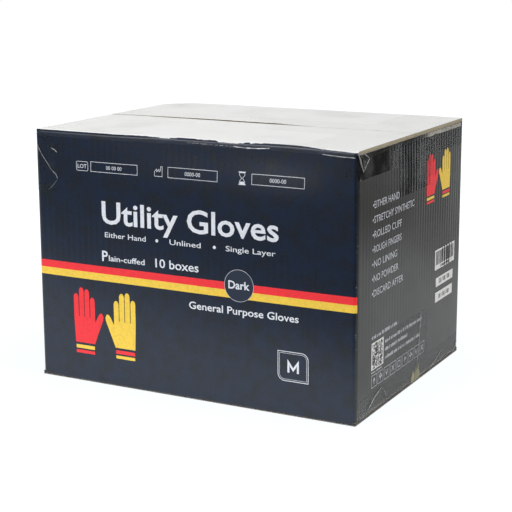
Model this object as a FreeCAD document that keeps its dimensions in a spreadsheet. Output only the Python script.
import FreeCAD, Part
import os
import Sketcher

# A sealed shipping case of disposable gloves: one slotted box of corrugated board, closed with
# clear tape, holding dispenser cartons on edge in two layers. Millimetres, +Z up, origin at the
# middle of the underside. The long walls face -Y (front) and +Y (rear).

columns = 5
layers = 2
box_edges = 12

sizes = [
    # one dispenser carton and what it holds
    ("dispenserThickness", 62, "carton size along the case's length"),
    ("dispenserLength", 238.8, "carton size along the case's depth"),
    ("dispenserHeight", 109, "carton size along the case's height"),
    ("cartonBoard", 0.5, "folding boxboard of a dispenser carton"),
    ("windowLength", 130, "tear-out opening, end to end"),
    ("windowWidth", 46, "tear-out opening, across"),
    ("perforationGap", 0.15, "cut line round the tear-out panel"),
    ("stackClearance", 1.5, "room between the folded gloves and their carton"),
    ("stackRadius", 6, "soft rounding of the glove stack"),
    # the case
    ("boardThickness", 3, "single wall B flute"),
    ("cornerRadius", 3.5, "outside of a folded corner"),
    ("columnGap", 0.5, "between dispensers side by side"),
    ("layerGap", 0.2, "between the two layers"),
    ("endClearance", 1, "between the outer dispensers and the walls"),
    ("headClearance", 1.6, "between the top layer and the minor flaps"),
    ("slotGap", 3, "slot beside a minor flap, from the wall's inner face"),
    ("flapClearance", 0.2, "between folded layers that move apart"),
    ("seamGap", 0.6, "between the two major flaps where they meet"),
    ("minorShare", 3, "a top minor flap turns one part in this many of a major flap's turn"),
    ("taperMargin", 1, "room between a rising minor flap and the major flap over it"),
    ("minorTipGap", 12, "least gap between the tips of the two minor flaps"),
    ("tabWidth", 35, "glued lap that closes the sleeve"),
    ("glueThickness", 0.2, "glue film on the lap"),
    # the tape
    ("tapeThickness", 0.15, "packing tape with its adhesive"),
    ("tapeWidth", 75, "seam tape"),
    ("topTabDrop", 45, "how far the top seam tape runs down an end wall"),
    ("bottomTabRise", 66, "how far the bottom seam tape runs up an end wall"),
    ("leftEdgeDrop", 50, "width of the left edge tape that lies on the walls"),
    ("rightEdgeDrop", 18, "width of the right edge tape that lies on the walls"),
    ("bottomEdgeRise", 20, "width of a bottom edge tape that lies on the end wall"),
    ("bottomEdgeUnder", 30, "width of a bottom edge tape that lies underneath"),
    ("leftEdgeWrap", 20, "how far the left edge tape turns the corner onto a long wall"),
    ("rightEdgeWrap", 12, "the same for the right edge tape"),
    ("hingeKeepOut", 2, "tape stops this far from a fold line that moves"),
]

outline = [
    ("caseLength", f"={columns} * dispenserThickness + {columns - 1} * columnGap"
                   " + 2 * endClearance + 2 * boardThickness"),
    ("caseWidth", "=dispenserLength + 2 * endClearance + glueThickness + 3 * boardThickness"),
    ("caseHeight", f"={layers} * dispenserHeight + {layers - 1} * layerGap"
                   " + headClearance + flapClearance + 4 * boardThickness"),
    ("halfLength", "=caseLength / 2"),
    ("halfWidth", "=caseWidth / 2"),
    ("boardTop", "=tapeThickness + caseHeight"),
    ("majorBottom", "=boardTop - boardThickness"),
    ("minorTop", "=majorBottom - flapClearance"),
    ("minorBottom", "=minorTop - boardThickness"),
    ("slotEdge", "=halfWidth - boardThickness - slotGap"),
    ("flapReach", "=halfWidth - seamGap / 2"),
    ("minorReach", "=min(flapReach; halfLength - minorTipGap / 2)"),
    ("minorTipInset", "=minorReach / minorShare + taperMargin - boardThickness"),
    ("halfTape", "=tapeWidth / 2"),
    ("floorLevel", "=tapeThickness + 2 * boardThickness"),
    # the middle pair drops between the bottom minor flaps where their gap is wide enough
    ("middleFloor", "=2 * (halfLength - minorReach) > dispenserThickness + 2 * columnGap"
                    " ? tapeThickness + boardThickness : floorLevel"),
    ("endRimTop", "=minorBottom - flapClearance"),
]

doc = FreeCAD.newDocument("glove_case")
sheet = doc.addObject("Spreadsheet::Sheet", "Size")
for row, (alias, value, note) in enumerate(sizes, start=1):
    sheet.set(f"A{row}", alias)
    sheet.set(f"B{row}", str(value))
    sheet.set(f"C{row}", note)
    sheet.setAlias(f"B{row}", alias)
for row, (alias, formula) in enumerate(outline, start=len(sizes) + 2):
    sheet.set(f"A{row}", alias)
    sheet.setAlias(f"B{row}", alias)
    sheet.set(f"B{row}", formula)
doc.recompute()

nodes = []


def bind(obj, **formulas):
    """Ties properties to the sheet; a double underscore stands for a dot in the property's path."""
    for prop, formula in formulas.items():
        obj.setExpression(prop.replace("__", "."), formula)


def place(obj, x="0", y="0", z="0"):
    bind(obj, Placement__Base__x=x, Placement__Base__y=y, Placement__Base__z=z)


def worth(formula):
    """The present value of a formula on the sheet."""
    return float(sheet.evalExpression(formula.replace("Size.", "")))


def polygon(body, plane, corners, name):
    """A closed sketch on one of the body's own planes, each corner tied to the sheet."""
    sketch = body.newObject("Sketcher::SketchObject", name)
    origin_plane = next(f for f in body.Origin.OriginFeatures if f.Role == plane)
    sketch.AttachmentSupport = [(origin_plane, "")]
    sketch.MapMode = "FlatFace"
    spots = [tuple(map(worth, corner)) for corner in corners]
    count = len(corners)
    for i in range(count):
        start, end = spots[i], spots[(i + 1) % count]
        sketch.addGeometry(Part.LineSegment(FreeCAD.Vector(*start, 0), FreeCAD.Vector(*end, 0)), False)
    for i in range(count):
        sketch.addConstraint(Sketcher.Constraint("Coincident", i, 2, (i + 1) % count, 1))
    for i, corner in enumerate(corners):
        for kind, formula, value in zip(("DistanceX", "DistanceY"), corner, spots[i]):
            at = sketch.addConstraint(Sketcher.Constraint(kind, i, 1, value))
            sketch.setExpression(f"Constraints[{at}]", formula)
    return sketch


def rectangle(x0, y0, x1, y1):
    return [(x0, y0), (x1, y0), (x1, y1), (x0, y1)]


def prism(label, corners, length, plane="XY_Plane", midplane=False):
    """A body padded from one polygon; on the XY plane it stands up from its own placement."""
    body = doc.addObject("PartDesign::Body", label)
    body.Label = label
    sketch = polygon(body, plane, corners, label + "_outline")
    pad = body.newObject("PartDesign::Pad", label + "_pad")
    pad.Profile = sketch
    pad.Midplane = midplane
    bind(pad, Length=length)
    doc.recompute()
    nodes.append(body)
    return body


def round_uprights(body, radius, spots):
    """Rounds the vertical edges that stand at the given X, Y spots."""
    base = body.Tip
    wanted = [FreeCAD.Vector(*map(worth, spot), 0) for spot in spots]
    names = []
    for i, edge in enumerate(base.Shape.Edges, start=1):
        low, high = edge.Vertexes[0].Point, edge.Vertexes[-1].Point
        upright = abs(low.x - high.x) < 1e-6 and abs(low.y - high.y) < 1e-6
        if upright and any((FreeCAD.Vector(low.x, low.y, 0) - w).Length < 1e-3 for w in wanted):
            names.append(f"Edge{i}")
    fillet = body.newObject("PartDesign::Fillet", body.Name + "_corner")
    fillet.Base = (base, names)
    bind(fillet, Radius=radius)
    doc.recompute()


def signed(sign, formula):
    return formula if sign > 0 else f"-({formula})"


# The sleeve: four walls folded from one sheet. The end walls are lower by one board at each rim,
# where the minor flaps lie under the major ones.

def case_sleeve():
    body = prism(
        "case_sleeve",
        rectangle("-Size.halfLength", "-Size.halfWidth", "Size.halfLength", "Size.halfWidth"),
        "Size.minorTop - Size.tapeThickness - Size.boardThickness",
    )
    place(body, z="Size.tapeThickness + Size.boardThickness")
    inside = polygon(
        body, "XY_Plane",
        rectangle("-Size.halfLength + Size.boardThickness", "-Size.halfWidth + Size.boardThickness",
                  "Size.halfLength - Size.boardThickness", "Size.halfWidth - Size.boardThickness"),
        "sleeve_inside",
    )
    hollow = body.newObject("PartDesign::Pocket", "sleeve_hollow")
    hollow.Profile = inside
    hollow.Type = 1
    hollow.Midplane = True
    doc.recompute()
    wall_height = "(Size.minorTop - Size.tapeThickness - Size.boardThickness)"
    rims = {
        "lower": ("0", "Size.boardThickness"),
        "upper": ("Size.endRimTop - Size.tapeThickness - Size.boardThickness", wall_height),
    }
    for rim, (low, high) in rims.items():
        corners = rectangle("-Size.slotEdge", low, "Size.slotEdge", high)
        notch = polygon(body, "YZ_Plane", corners, rim + "_rim")
        cut = body.newObject("PartDesign::Pocket", rim + "_rim_cut")
        cut.Profile = notch
        cut.Type = 1
        cut.Midplane = True
        doc.recompute()
    corners = [(signed(sx, "Size.halfLength"), signed(sy, "Size.halfWidth"))
               for sx in (-1, 1) for sy in (-1, 1)]
    round_uprights(body, "Size.cornerRadius", corners)


def joint_tab():
    """The lap of board inside the rear wall at the left corner, and the glue that holds it."""
    x0 = "-Size.halfLength + Size.boardThickness"
    x1 = x0 + " + Size.tabWidth"
    wall = "Size.halfWidth - Size.boardThickness"
    film = f"{wall} - Size.glueThickness"
    height = "Size.endRimTop - Size.floorLevel"
    tab = prism("sleeve_joint_tab", rectangle(x0, f"{film} - Size.boardThickness", x1, film), height)
    glue = prism("sleeve_joint_glue", rectangle(x0, film, x1, wall), height)
    for body in (tab, glue):
        place(body, z="Size.floorLevel")


# Flaps. A top flap folds about the outer corner line of its wall, so it can turn right over and
# hang outside. Major flaps meet in the middle; minor flaps lie under them, tapered to clear them.

def major_flap(label, side, level):
    hinge, tip = signed(side, "Size.halfWidth"), signed(side, "Size.seamGap / 2")
    corners = rectangle("-Size.halfLength", hinge, "Size.halfLength", tip)
    place(prism(label, corners, "Size.boardThickness"), z=level)


def minor_flap(label, side, level, inset):
    hinge = signed(side, "Size.halfLength")
    tip = signed(side, "Size.halfLength - Size.minorReach")
    root = "Size.slotEdge - Size.flapClearance"
    end = f"min({root}; Size.halfWidth - Size.boardThickness - {inset})"
    corners = [(hinge, f"-({root})"), (tip, f"-({end})"), (tip, end), (hinge, root)]
    place(prism(label, corners, "Size.boardThickness"), z=level)


# Tape. Each strip is one film in the plane of the board it is stuck to, and the top strips are
# slit along the folds and the seam, where a knife opens the case.

def seam_tape():
    for name, side in (("front", -1), ("rear", 1)):
        half = prism(
            f"top_seam_tape_{name}_half",
            rectangle("-Size.halfLength", signed(side, "Size.halfTape"),
                      "Size.halfLength", signed(side, "Size.seamGap / 2")),
            "Size.tapeThickness",
        )
        place(half, z="Size.boardTop")
    for name, side in (("left", -1), ("right", 1)):
        on_wall = rectangle(signed(side, "Size.halfLength"), "-Size.halfTape",
                            signed(side, "Size.halfLength + Size.tapeThickness"), "Size.halfTape")
        upper = prism(f"top_seam_tape_{name}_tab", on_wall, "Size.topTabDrop")
        place(upper, z="Size.endRimTop - Size.topTabDrop")
        lower = prism(f"bottom_seam_tape_{name}_tab", on_wall, "Size.bottomTabRise")
        place(lower, z="Size.tapeThickness")
    end = "Size.halfLength + Size.tapeThickness"
    under = rectangle(f"-({end})", "-Size.halfTape", end, "Size.halfTape")
    prism("bottom_seam_tape", under, "Size.tapeThickness")


def edge_tape(end, sx, side, sy):
    """One end edge's tape, on one side of the seam tape: on the flap, round the corner, and below."""
    drop = f"Size.{end}EdgeDrop"
    inner = signed(sx, f"Size.halfLength - (Size.tapeWidth - {drop})")
    outer = signed(sx, "Size.halfLength")
    beside = signed(sy, "Size.halfTape")
    on_flap = prism(
        f"{end}_edge_tape_{side}_flap_part",
        rectangle(inner, beside, outer, signed(sy, "Size.halfWidth - Size.hingeKeepOut")),
        "Size.tapeThickness",
    )
    place(on_flap, z="Size.boardTop")
    skin_x = signed(sx, "Size.halfLength + Size.tapeThickness")
    wall_y, skin_y = signed(sy, "Size.halfWidth"), signed(sy, "Size.halfWidth + Size.tapeThickness")
    wrap_x = signed(sx, f"Size.halfLength - Size.{end}EdgeWrap")
    band = [(outer, beside), (skin_x, beside), (skin_x, skin_y),
            (wrap_x, skin_y), (wrap_x, wall_y), (outer, wall_y)]
    on_wall = prism(f"{end}_edge_tape_{side}_wall_part", band, drop)
    round_uprights(on_wall, "Size.cornerRadius + Size.tapeThickness", [(skin_x, skin_y)])
    round_uprights(on_wall, "Size.cornerRadius", [(outer, wall_y)])
    place(on_wall, z=f"Size.endRimTop - {drop}")

    reach = signed(sx, "Size.halfLength - Size.bottomEdgeUnder")
    angle = [(reach, "0"), (skin_x, "0"), (skin_x, "Size.bottomEdgeRise"), (outer, "Size.bottomEdgeRise"),
             (outer, "Size.tapeThickness"), (reach, "Size.tapeThickness")]
    run = "(Size.halfWidth - Size.cornerRadius - Size.halfTape)"
    below = prism(f"bottom_{end}_edge_tape_{side}", angle, run, "XZ_Plane", True)
    place(below, y=signed(sy, f"Size.halfTape + {run} / 2"))


# Dispensers: a boxboard shell with an oval tear-out in one broad face, and the folded gloves.

def obround(label, length, width, depth):
    """A slot-shaped prism: centred on Y and Z, standing off the YZ plane along X."""
    ends = []
    for way in (-1, 1):
        end = doc.addObject("Part::Cylinder", label + "_end")
        bind(end, Radius=f"({width}) / 2", Height=depth)
        end.Placement.Rotation = FreeCAD.Rotation(FreeCAD.Vector(0, 1, 0), 90)
        place(end, y=signed(way, f"(({length}) - ({width})) / 2"))
        ends.append(end)
    middle = doc.addObject("Part::Box", label + "_middle")
    bind(middle, Length=depth, Width=f"({length}) - ({width})", Height=width)
    place(middle, y=f"-(({length}) - ({width})) / 2", z=f"-({width}) / 2")
    whole = doc.addObject("Part::MultiFuse", label)
    whole.Shapes = ends + [middle]
    whole.Refine = True
    whole.Label = label
    return whole


def centred_box(label, length, width, height):
    box = doc.addObject("Part::Box", label)
    box.Label = label
    bind(box, Length=length, Width=width, Height=height)
    place(box, f"-({length}) / 2", f"-({width}) / 2", f"-({height}) / 2")
    return box


def minus(label, base, tool):
    cut = doc.addObject("Part::Cut", label)
    cut.Label = label
    cut.Base, cut.Tool = base, tool
    return cut


def dispenser(number, column, layer):
    floor = "Size.middleFloor" if column == columns // 2 else "Size.floorLevel"
    x = f"({column - (columns - 1) / 2}) * (Size.dispenserThickness + Size.columnGap)"
    y = "-(Size.boardThickness + Size.glueThickness) / 2"
    z = f"{floor} + Size.dispenserHeight / 2 + {layer} * (Size.dispenserHeight + Size.layerGap)"

    outside = centred_box(f"shell_outside_{number}", "Size.dispenserThickness", "Size.dispenserLength",
                          "Size.dispenserHeight")
    wall = "2 * Size.cartonBoard"
    inside = centred_box(f"shell_inside_{number}", f"Size.dispenserThickness - {wall}",
                         f"Size.dispenserLength - {wall}", f"Size.dispenserHeight - {wall}")
    window = obround(f"window_{number}", "Size.windowLength", "Size.windowWidth",
                     "Size.dispenserThickness / 2")
    shell = minus(f"dispenser_shell_{number}", outside, inside)
    carton = minus(f"dispenser_carton_{number}", shell, window)

    trim = "2 * Size.perforationGap"
    panel = obround(f"tear_out_panel_{number}", f"Size.windowLength - {trim}",
                    f"Size.windowWidth - {trim}", "Size.cartonBoard")

    room = "2 * (Size.cartonBoard + Size.stackClearance)"
    block = centred_box(f"stack_block_{number}", f"Size.dispenserThickness - {room}",
                        f"Size.dispenserLength - {room}", f"Size.dispenserHeight - {room}")
    stack = doc.addObject("Part::Fillet", f"glove_stack_{number}")
    stack.Label = f"glove_stack_{number}"
    stack.Base = block
    radius = worth("Size.stackRadius")
    stack.Edges = [(edge, radius, radius) for edge in range(1, box_edges + 1)]

    place(carton, x, y, z)
    place(panel, f"{x} + Size.dispenserThickness / 2 - Size.cartonBoard", y, z)
    place(stack, x, y, z)
    nodes.extend([carton, panel, stack])


case_sleeve()
joint_tab()
for name, side in (("front", -1), ("rear", 1)):
    major_flap(f"top_{name}_flap", side, "Size.majorBottom")
    major_flap(f"bottom_{name}_flap", side, "Size.tapeThickness")
for name, side in (("left", -1), ("right", 1)):
    minor_flap(f"top_{name}_flap", side, "Size.minorBottom", "Size.minorTipInset")
    minor_flap(f"bottom_{name}_flap", side, "Size.tapeThickness + Size.boardThickness", "Size.slotGap")
seam_tape()
for end, sx in (("left", -1), ("right", 1)):
    for side, sy in (("front", -1), ("rear", 1)):
        edge_tape(end, sx, side, sy)
for layer in range(layers):
    for column in range(columns):
        dispenser(layer * columns + column + 1, column, layer)
doc.recompute()

faults = [o.Label for o in doc.Objects if {"Invalid", "Error"} & set(o.State)]
faults += [n.Label for n in nodes if n.Shape.isNull() or not n.Shape.isValid()]
if faults:
    raise RuntimeError("not built: " + ", ".join(sorted(set(faults))))

os.makedirs("parts", exist_ok=True)
for node in nodes:
    node.Shape.exportStep(f"parts/{node.Label}.step")
outside = [round(worth(name), 2) for name in ("caseLength", "caseWidth", "caseHeight")]
print(len(nodes), "nodes, case", outside)
